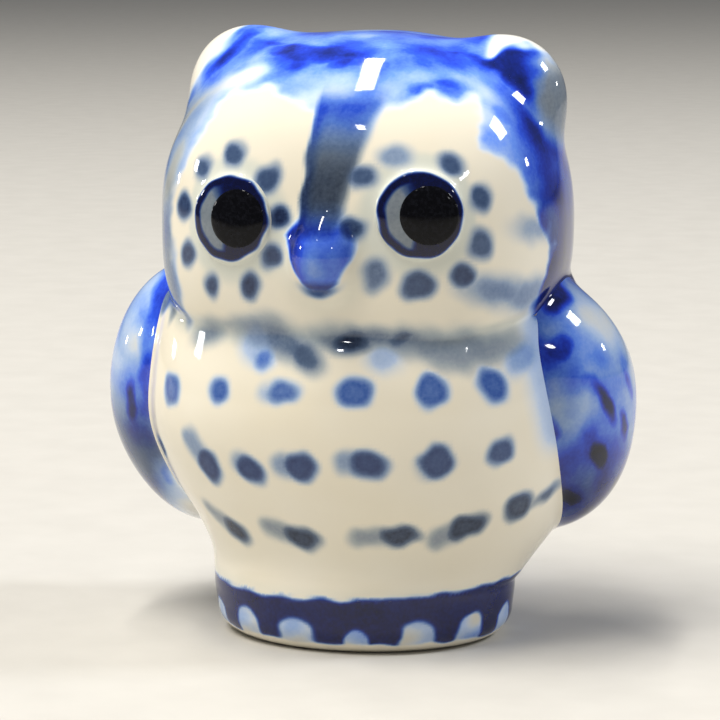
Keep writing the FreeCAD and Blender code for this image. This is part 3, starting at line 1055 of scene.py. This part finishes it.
        # The lower rows get more grey and less blue: painted shade, darker towards the bottom of
        # the breast.
        upper_rows_less_shade, top_row_least_shade = ease(6.0, 7.2, z), ease(9.2, 10.2, z)
        blue = 0.20 + 0.16 * upper_rows_less_shade + 0.10 * top_row_least_shade
        grey = 0.96 - 0.14 * upper_rows_less_shade - 0.26 * top_row_least_shade
        paint = self.ink(p, list(self.breast_dots) + self.back_dots(), blue, grey)
        paint = self.ink(p, list(self.face_dots), 0.30, 0.90).over(paint)
        paint = self.ink(p, list(self.face_grey), 0.35, 0.75).over(paint)
        # The collar's grey is partly painted shade in the neck crease.
        paint = self.ink(p, list(self.collar_grey_and_crease_shade), 0.25, 1.05).over(paint)
        paint = self.ink(p, list(self.collar_blue), 0.6, 0.5).over(paint)
        # A little blue bled from the left wing onto the breast.
        gap = self.clay.parts(p)[Node.LEFT_WING]
        halo = 0.30 * (1 - ease(0.0, 0.9, gap)) * ease(7.5, 9.0, z)
        paint = Paint(halo, 0.4 * halo, np.zeros(len(p))).over(paint)
        paint = self.brow(p).over(paint)
        paint = self.hood(p).over(paint)
        paint = self.band(p).over(paint)
        return self.glaze_only(p, paint)

    def glaze_only(self, p: Array, paint: Paint) -> Paint:
        """Leaves the unglazed hollow bare."""
        outside = self.glazed_side(p)
        return Paint(paint.cobalt * outside, paint.slate * outside, paint.mottle)

    def left_wing(self, p: Array) -> Paint:
        """Owl's left wing: sky-blue shoulder, lavender front and navy feather strokes."""
        turn = self.brush.turn_of(p)
        z = p[:, 2]
        parts = self.clay.parts(p)
        seam = 1 - ease(0.1, 0.9, np.minimum(parts[Node.BODY], parts[Node.HEAD]))
        load = 0.50 + 0.12 * ripple(p, 2.2, 81)
        shoulder = np.exp(-(((turn - 86) / 16) ** 2) - ((z - 13.4) / 1.3) ** 2)
        load = load * (1 - 0.75 * shoulder)
        front = (1 - ease(66, 76, turn)) * ease(7.5, 9.0, z)
        load = load * (1 - 0.35 * front)
        # The lower wing is loaded bluer and greyer: painted shade under the wing.
        low = 1 - ease(5.5, 9.5, z)
        load = load + 0.30 * low + 0.35 * seam * ease(9.0, 12.0, z)
        marks = self.brush.lay(p, list(self.left_wing_marks))
        cobalt = self.soak(load, marks)
        slate = 0.22 + 0.40 * front + 0.75 * low
        return self.glaze_only(p, Paint(cobalt, slate, np.full(len(p), 0.75)))

    def right_wing(self, p: Array) -> Paint:
        """Owl's right wing: pale, with a deep inner edge and painted shade that greys its lower
        half.
        """
        z = p[:, 2]
        parts = self.clay.parts(p)
        gap = np.minimum(parts[Node.BODY], parts[Node.HEAD]) + 0.08 * ripple(p, 1.6, 91)
        seam = (1 - ease(0.15, 1.0, gap)) * ease(7.0, 10.0, z)
        # Bluer and greyer towards the bottom: painted shade.
        low = 1 - ease(7.0, 10.5, z)
        load = 0.38 + 0.10 * ripple(p, 2.2, 92) + 0.12 * low
        load = np.maximum(load, 0.95 * seam)
        marks = self.brush.lay(p, list(self.right_wing_marks))
        cobalt = self.soak(load, marks)
        pad = self.clay.pads[Node.RIGHT_WING]
        q = pad.local(p)
        outline = np.hypot(q[:, 1] / pad.size[1], q[:, 2] / pad.size[2])
        rim = ease(0.86, 1.0, outline) * (1 - ease(6.0, 7.5, z))
        slate = (0.18 + 0.85 * low) * (1 - rim)
        return self.glaze_only(p, Paint(cobalt * (1 - 0.7 * rim), slate, np.full(len(p), 0.6)))

    def tail(self, p: Array) -> Paint:
        """The tail: a blue wash with three darker feather strokes."""
        q = self.clay.pads[Node.TAIL].local(p)
        load = 0.66 + 0.14 * ripple(p, 1.9, 96)
        for middle in (-1.4, 0.0, 1.4):
            line = np.exp(-(((q[:, 0] - middle + 0.05 * ripple(p, 1.0, 97)) / 0.24) ** 2))
            load = np.maximum(load, 1.55 * line * (1 - ease(0.6, 1.6, q[:, 2])))
        return self.glaze_only(p, Paint(load, np.zeros(len(p)), np.full(len(p), 0.7)))

    def eye(self, p: Array, node: Node) -> Paint:
        """An eye disc: a navy ring round a dark wash with one pale crescent."""
        q = self.clay.pads[node].local(p)
        radius = np.hypot(q[:, 0], q[:, 1]) + 0.03 * ripple(p, 1.0, 98)
        angle = np.degrees(np.arctan2(q[:, 1], q[:, 0]))
        above = (angle - 186 + 180) % 360 - 180
        ends = (1 - ease(50, 92, -above)) * (1 - ease(66, 82, above))
        pale = (1 - ease(1.27, 1.45, radius)) * ends
        cobalt = 0.95 * (1 - pale) + 0.10 * pale
        slate = 1.5 * (1 - pale) + 0.80 * pale
        outside = 1 - ease(1.58, 1.74, radius)
        return Paint(cobalt * outside, slate * outside, np.full(len(p), 0.1))


# ---------------------------------------------------------------- finishes
def linear(hex_colour: str) -> tuple[float, float, float, float]:
    """Turns an sRGB hex colour to linear RGBA."""
    parts = [int(hex_colour[i : i + 2], 16) / 255 for i in (1, 3, 5)]
    turned = [c / 12.92 if c <= 0.04045 else ((c + 0.055) / 1.055) ** 2.4 for c in parts]
    return (*turned, 1.0)


def add_node(tree: bpy.types.NodeTree, kind: str, inputs: dict | None = None, **settings):
    """Adds a shader node.

    Args:
        tree: The material's node tree.
        kind: Blender's name of the node type.
        inputs: Socket name or number to a value, or to another node's output socket.
        **settings: Properties of the node.

    Returns:
        The new node.
    """
    node = tree.nodes.new(kind)
    for name, value in settings.items():
        setattr(node, name, value)
    for name, value in (inputs or {}).items():
        if isinstance(value, bpy.types.NodeSocket):
            tree.links.new(value, node.inputs[name])
        else:
            node.inputs[name].default_value = value
    return node


class Shader:
    """A material under construction, with short ways to add its nodes."""

    def __init__(self, name: str) -> None:
        """Starts an empty node material of that name."""
        self.material = bpy.data.materials.new(name)
        self.material.use_nodes = True
        self.tree = self.material.node_tree
        self.tree.nodes.clear()
        self.place = add_node(self.tree, "ShaderNodeTexCoord").outputs["Object"]

    def noise(self, size: float, detail: float = 2.0) -> bpy.types.NodeSocket:
        """Noise between 0 and 1 whose patches are about size millimetres wide."""
        inputs = {"Vector": self.place, "Scale": 1.0 / (size * MM), "Detail": detail}
        return add_node(self.tree, "ShaderNodeTexNoise", inputs).outputs["Fac"]

    def layer(self, name: str) -> bpy.types.NodeSocket:
        """A layer of paint that the mesh carries."""
        return add_node(self.tree, "ShaderNodeAttribute", attribute_name=name).outputs["Fac"]

    def maths(self, kind: str, *values) -> bpy.types.NodeSocket:
        """One sum on values or sockets."""
        inputs = dict(enumerate(values))
        return add_node(self.tree, "ShaderNodeMath", inputs, operation=kind).outputs[0]

    def ramp(self, share, stops: tuple[tuple[float, str], ...]) -> bpy.types.NodeSocket:
        """Colours from (place, sRGB hex) stops."""
        node = add_node(self.tree, "ShaderNodeValToRGB", {"Fac": share})
        elements = node.color_ramp.elements
        while len(elements) < len(stops):
            elements.new(1.0)
        for element, (place, colour) in zip(elements, stops):
            element.position = place
            element.color = linear(colour)
        return node.outputs["Color"]

    def mix(self, kind: str, share, a, b) -> bpy.types.NodeSocket:
        """Blends two colours."""
        node = add_node(
            self.tree, "ShaderNodeMix", {0: share, 6: a, 7: b}, data_type="RGBA", blend_type=kind
        )
        return node.outputs[2]

    def bump(self, height, depth: float) -> bpy.types.NodeSocket:
        """Surface direction over waves of a depth in millimetres."""
        inputs = {"Strength": 1.0, "Distance": depth * MM, "Height": height}
        return add_node(self.tree, "ShaderNodeBump", inputs).outputs["Normal"]

    def finish(self, inputs: dict) -> bpy.types.Material:
        """Ends in a Principled shader with these sockets set, and returns the material."""
        shader = add_node(self.tree, "ShaderNodeBsdfPrincipled", inputs)
        add_node(self.tree, "ShaderNodeOutputMaterial", {"Surface": shader.outputs["BSDF"]})
        return self.material


@dataclass(frozen=True)
class GlazedPorcelain:
    """Soft-paste porcelain, underglaze cobalt painted by brush, dipped in clear gloss glaze.

    To the eye it is a creamy white under a thin, hard, slightly wavy coat of glass: sharp
    lamp reflections, blue that granulates and pools at the edge of each touch, and glaze
    that gathers a little greener in the creases.
    """

    name: str = "glazed_porcelain"
    clay_colour: str = "#F5F0E2"
    clay_shade: str = "#EEE4CB"
    pooled_glaze: str = "#D3D8CE"
    # Cobalt from the palest wash to the heaviest load; the ramp's end stands for a load of 2.
    cobalt: tuple[tuple[float, str], ...] = (
        (0.0, "#EEF3FA"),
        (0.08, "#DCE9FB"),
        (0.17, "#B0CCFA"),
        (0.28, "#6E9AFA"),
        (0.40, "#3560F0"),
        (0.50, "#2442CC"),
        (0.60, "#1C3094"),
        (0.72, "#16235A"),
        (0.86, "#0F1638"),
        (1.0, "#090C20"),
    )
    covering: float = 0.22       # the load at which a wash hides the warmth of the clay
    # The greyer brushwork, where iron in the cobalt shows; the end stands for 1.5.
    slate: tuple[tuple[float, str], ...] = (
        (0.0, "#FFFFFF"),
        (0.25, "#C3CAD0"),
        (0.6, "#6F7A88"),
        (1.0, "#2A303C"),
    )
    full_cobalt: float = 2.0
    full_slate: float = 1.5
    drying_size: float = 2.2     # patches in a wash, millimetres
    drying_depth: float = 2.6    # how strongly a wash varies from patch to patch
    grain_size: float = 0.16     # pigment granules, drawn coarser than life so that they show
    grain_depth: float = 0.22
    streak_size: float = 0.6     # brush hair streaks
    streak_depth: float = 0.5
    thinnest: float = 0.2        # the palest that a wash dries
    clay_patch: float = 5.0
    wave_size: float = 1.6       # the glaze's gentle waves
    wave_depth: float = 0.012
    ior: float = 1.5
    roughness: float = 0.045

    def make(self) -> bpy.types.Material:
        """Builds the material, which reads the mesh's cobalt, slate, mottle and pool layers."""
        s = Shader(self.name)
        drying = s.maths("SUBTRACT", s.noise(self.drying_size, 1.5), 0.5)
        streaks = s.maths("SUBTRACT", s.noise(self.streak_size), 0.5)
        streaks = s.maths("MULTIPLY", streaks, self.streak_depth)
        uneven = s.maths("MULTIPLY_ADD", drying, self.drying_depth, streaks)
        uneven = s.maths("MULTIPLY_ADD", uneven, s.layer("mottle"), 1.0)
        uneven = s.maths("MAXIMUM", uneven, self.thinnest)
        grain = s.maths("SUBTRACT", s.noise(self.grain_size), 0.5)
        grain = s.maths("MULTIPLY_ADD", grain, self.grain_depth, 1.0)
        blue = s.maths("MULTIPLY", s.layer("cobalt"), uneven)
        load = s.maths("MULTIPLY", blue, grain)
        blue = s.ramp(s.maths("DIVIDE", load, self.full_cobalt), self.cobalt)
        cover = s.maths("MINIMUM", s.maths("DIVIDE", load, self.covering), 1.0)
        grey = s.maths("MULTIPLY", s.layer("slate"), grain)
        grey = s.ramp(s.maths("DIVIDE", grey, self.full_slate), self.slate)
        patches = s.noise(self.clay_patch)
        colour = s.mix("MIX", patches, linear(self.clay_colour), linear(self.clay_shade))
        colour = s.mix("MIX", s.layer("pool"), colour, linear(self.pooled_glaze))
        colour = s.mix("MIX", cover, colour, blue)
        colour = s.mix("MULTIPLY", 1.0, colour, grey)
        waves = s.bump(s.noise(self.wave_size, 1.0), self.wave_depth)
        return s.finish(
            {
                "Base Color": colour,
                "Roughness": self.roughness,
                "IOR": self.ior,
                "Normal": waves,
            }
        )


@dataclass(frozen=True)
class Biscuit:
    """Bare fired clay where no glaze went: a dry, chalky, faintly speckled white."""

    name: str = "biscuit_porcelain"
    pale: str = "#E4DCCB"
    speck: str = "#CFC3AB"
    grain_size: float = 0.12
    grain_depth: float = 0.01
    roughness: float = 0.75

    def make(self) -> bpy.types.Material:
        """Builds the material."""
        s = Shader(self.name)
        grain = s.noise(self.grain_size, 3.0)
        return s.finish(
            {
                "Base Color": s.ramp(grain, ((0.35, self.speck), (0.6, self.pale))),
                "Roughness": self.roughness,
                "Normal": s.bump(grain, self.grain_depth),
            }
        )


@dataclass(frozen=True)
class BlackEnamel:
    """Overglaze black enamel, dropped on thick and fired glossy: a deep wet black bead."""

    name: str = "black_enamel"
    colour: str = "#07070B"
    dust: str = "#15161C"
    dust_size: float = 0.15
    ior: float = 1.52
    roughness: float = 0.08
    gloss: float = 0.16

    def make(self) -> bpy.types.Material:
        """Builds the material."""
        s = Shader(self.name)
        dust = s.noise(self.dust_size)
        return s.finish(
            {
                "Base Color": s.ramp(dust, ((0.45, self.colour), (0.8, self.dust))),
                "Roughness": self.roughness,
                "IOR": self.ior,
                "Specular IOR Level": self.gloss,
            }
        )


# ---------------------------------------------------------------- the workshop
@dataclass(frozen=True)
class Order:
    """How a piece is to be made and dressed."""

    node: Node
    pitch: float | None                      # mesh spacing in millimetres, None for a drop
    slot: str                                # the record's material slot
    paint: Callable[[Array], Paint] | None   # None for the enamel drops


@dataclass
class Workshop:
    """Turns clay into dressed pieces that replace the CAD nodes."""

    clay: Clay
    caster: Caster
    finishes: dict[str, bpy.types.Material]
    biscuit: bpy.types.Material
    rest_height: float = 0.06    # what lies lower than this stood on the kiln shelf unglazed
    pool_reach: float = 0.5      # millimetres out from the skin that a crease is felt
    pool_gaps: tuple[float, float] = (0.02, 0.22)    # narrowing where pooling starts and is full
    pool_most: float = 0.8

    def make(self, order: Order) -> bpy.types.Object:
        """Cuts a piece, paints it, hangs it on the root body and hides the CAD node it replaces.

        Args:
            order: The piece and how it is dressed.

        Returns:
            The finished object.
        """
        node = order.node
        enamel = order.pitch is None
        skin = EnamelDrop(self.clay).cast(node) if enamel else self.caster.cut(node, order.pitch)
        mesh = bpy.data.meshes.new(node.value + "_mesh")
        faces = [list(dict.fromkeys(quad)) for quad in skin.quads.tolist()]
        mesh.from_pydata((skin.points * MM).tolist(), [], faces)
        mesh.polygons.foreach_set("use_smooth", [True] * len(mesh.polygons))
        if not enamel:
            self.lean(mesh, skin, node)
        if order.paint:
            layers = order.paint(skin.points)
            self.carry(mesh, "cobalt", layers.cobalt)
            self.carry(mesh, "slate", layers.slate)
            self.carry(mesh, "mottle", layers.mottle)
            self.carry(mesh, "pool", self.pooling(skin.points))
        mesh.materials.append(self.finishes[order.slot])
        mesh.materials.append(self.biscuit)
        middle = skin.points[skin.quads].mean(axis=1)
        bare = (skin.labels != 0) | (middle[:, 2] < self.rest_height)
        if not enamel:
            mesh.polygons.foreach_set("material_index", bare.astype(np.int32))
        piece = bpy.data.objects.new("glazed_" + node.value, mesh)
        bpy.context.scene.collection.objects.link(piece)
        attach(piece, "root")
        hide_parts(node.value)
        LOG.info("%s: %d points, %d faces", piece.name, len(skin.points), len(skin.quads))
        return piece

    @staticmethod
    def carry(mesh: bpy.types.Mesh, name: str, values: Array) -> None:
        """Stores a layer of paint on the mesh."""
        layer = mesh.attributes.new(name, "FLOAT", "POINT")
        layer.data.foreach_set("value", values.astype(np.float32))

    def lean(self, mesh: bpy.types.Mesh, skin: Skin, node: Node) -> None:
        """Gives each face corner the direction of the wall that the face lies on."""
        step = 0.03
        walls = skin.labels.max() + 1
        slopes = np.empty((walls, len(skin.points), 3))
        for axis in range(3):
            shift = np.zeros(3)
            shift[axis] = step
            ahead = self.clay.walls(node, skin.points + shift)
            behind = self.clay.walls(node, skin.points - shift)
            for wall in range(walls):
                slopes[wall, :, axis] = ahead[wall] - behind[wall]
        corners = unit(slopes)[skin.labels[:, None], skin.quads].reshape(-1, 3)
        mesh.normals_split_custom_set(corners.tolist())

    def pooling(self, p: Array) -> Array:
        """How much glaze has gathered at each point: the creases are fuller."""
        out = self.clay.normal_of(self.clay.skin, p)
        narrowing = self.pool_reach - self.clay.skin(p + out * self.pool_reach)
        return ease(*self.pool_gaps, narrowing) * self.pool_most


# ---------------------------------------------------------------- the studio
@dataclass(frozen=True)
class Lamp:
    """A soft rectangular lamp that faces the owl."""

    name: str
    turn: float          # degrees from the front towards the owl's left
    lift: float          # degrees above the table
    width: float         # metres, side to side
    length: float        # metres, front to back
    power: float         # watts
    tint: str = "#FFFFFF"
    distance: float = 0.5
    shine: bool = True   # whether the glaze mirrors it
    heading: float = 14.5    # which way its length points, round like turn


@dataclass
class Studio:
    """Pale table, soft lamps and the camera."""

    target: tuple[float, float, float] = (0.0, 0.0, 0.0125)
    lamps: tuple[Lamp, ...] = (
        Lamp("softbox", -50, 66, 0.30, 0.30, 3.0, "#FFFBF4", shine=False),
        Lamp("overhead_lamp", -124, 76, 0.034, 0.31, 1.05, "#FFFBF4", heading=3.0),
        Lamp("left_window", 108, 39, 0.085, 0.10, 1.0, "#F2F6FF"),
        Lamp("left_low", 121, 15, 0.03, 0.03, 0.10),
        Lamp("front_above", -15, 50, 0.014, 0.030, 0.06, heading=0.0),
        Lamp("right_high", -85, 14, 0.04, 0.04, 0.16),
        Lamp("right_low", -108, 5, 0.025, 0.025, 0.06),
        Lamp("front_left", 54, 24, 0.02, 0.02, 0.05),
    )
    table_colour: str = "#C9C6BF"
    table_fleck: str = "#C4C1BA"
    world_colour: str = "#D9DCE2"
    table_half: float = 3.0      # metres from the owl to each edge
    table_grain: float = 3.0     # millimetres
    table_roughness: float = 0.6
    world_strength: float = 0.22
    camera_turn: float = 14.5
    camera_lift: float = 8.0
    camera_distance: float = 0.128
    lens: float = 155.5
    sensor: float = 36.0
    nearest: float = 0.005       # the camera's clipping distances, metres
    farthest: float = 20.0
    aim_right: float = -0.185    # where the camera looks from the owl's middle, millimetres
    aim_up: float = -1.235

    def direction(self, turn: float, lift: float) -> Vector:
        """Unit vector from the owl by turn and lift in degrees."""
        a, b = math.radians(turn), math.radians(lift)
        return Vector((math.sin(a) * math.cos(b), -math.cos(a) * math.cos(b), math.sin(b)))

    def lay_table(self) -> None:
        """A wide pale table top."""
        half = self.table_half
        corners = [(-half, -half, 0), (half, -half, 0), (half, half, 0), (-half, half, 0)]
        mesh = bpy.data.meshes.new("table_mesh")
        mesh.from_pydata(corners, [], [(0, 1, 2, 3)])
        s = Shader("pale_table")
        stops = ((0.3, self.table_fleck), (0.7, self.table_colour))
        colour = s.ramp(s.noise(self.table_grain, 3.0), stops)
        finish = s.finish({"Base Color": colour, "Roughness": self.table_roughness})
        mesh.materials.append(finish)
        table = bpy.data.objects.new("table", mesh)
        bpy.context.scene.collection.objects.link(table)

    def light(self) -> None:
        """Places the soft lamps and the pale room."""
        for lamp in self.lamps:
            data = bpy.data.lights.new(lamp.name, "AREA")
            data.shape = "RECTANGLE"
            data.size, data.size_y = lamp.width, lamp.length
            data.energy = lamp.power
            data.color = linear(lamp.tint)[:3]
            thing = bpy.data.objects.new(lamp.name, data)
            away = self.direction(lamp.turn, lamp.lift)
            thing.location = Vector(self.target) + away * lamp.distance
            front = self.direction(lamp.heading, 0.0)
            side = front.cross(away).normalized()
            axes = Matrix((side, away.cross(side), away)).transposed()
            thing.rotation_euler = axes.to_euler()
            thing.visible_glossy = lamp.shine
            bpy.context.scene.collection.objects.link(thing)
        world = bpy.data.worlds.new("pale_room")
        world.use_nodes = True
        back = world.node_tree.nodes["Background"]
        back.inputs["Color"].default_value = linear(self.world_colour)
        back.inputs["Strength"].default_value = self.world_strength
        bpy.context.scene.world = world

    def set_camera(self) -> None:
        """The camera, a little to the owl's left and above."""
        back = self.direction(self.camera_turn, self.camera_lift)
        right = Vector((0, 0, 1)).cross(back).normalized()
        up = back.cross(right)
        place = Vector(self.target) + back * self.camera_distance
        aim = Vector(self.target) + right * (self.aim_right * MM) + up * (self.aim_up * MM)
        data = bpy.data.cameras.new("camera")
        data.lens = self.lens
        data.sensor_width = self.sensor
        data.clip_start = self.nearest
        data.clip_end = self.farthest
        camera = bpy.data.objects.new("camera", data)
        camera.location = place
        camera.rotation_euler = (place - aim).to_track_quat("Z", "Y").to_euler()
        bpy.context.scene.collection.objects.link(camera)
        bpy.context.scene.camera = camera
        bpy.context.scene.view_settings.view_transform = "Standard"


def orders(decoration: Decoration) -> list[Order]:
    """Every piece with its mesh spacing, slot and paint."""
    shell, painted, washed = "glazed_porcelain", "cobalt_painted_porcelain", "eye_wash_porcelain"
    d = decoration
    return [
        Order(Node.HEAD, 0.13, shell, d.shell),
        Order(Node.BODY, 0.135, shell, d.shell),
        Order(Node.FOOT, 0.10, shell, d.shell),
        Order(Node.LEFT_WING, 0.10, painted, d.left_wing),
        Order(Node.RIGHT_WING, 0.10, painted, d.right_wing),
        Order(Node.LEFT_EAR, 0.08, painted, d.shell),
        Order(Node.RIGHT_EAR, 0.08, painted, d.shell),
        Order(Node.BEAK, 0.06, painted, d.shell),
        Order(Node.TAIL, 0.08, painted, d.tail),
        Order(Node.LEFT_EYE, 0.05, washed, lambda p: d.eye(p, Node.LEFT_EYE)),
        Order(Node.RIGHT_EYE, 0.05, washed, lambda p: d.eye(p, Node.RIGHT_EYE)),
        Order(Node.LEFT_PUPIL, None, "black_enamel", None),
        Order(Node.RIGHT_PUPIL, None, "black_enamel", None),
    ]


def main() -> None:
    """Builds and dresses the owl piece by piece, then sets the studio round it."""
    logging.basicConfig(level=logging.INFO, format="%(name)s %(message)s")
    clay = Clay()
    decoration = Decoration(clay, Brush(clay))
    finishes = {
        "glazed_porcelain": GlazedPorcelain().make(),
        "cobalt_painted_porcelain": GlazedPorcelain("cobalt_painted_porcelain").make(),
        "eye_wash_porcelain": GlazedPorcelain("eye_wash_porcelain", wave_depth=0.004).make(),
        "black_enamel": BlackEnamel().make(),
    }
    workshop = Workshop(clay, Caster(clay), finishes, Biscuit().make())
    for order in orders(decoration):
        workshop.make(order)
    studio = Studio()
    studio.lay_table()
    studio.light()
    studio.set_camera()


if __name__ == "__main__":
    main()
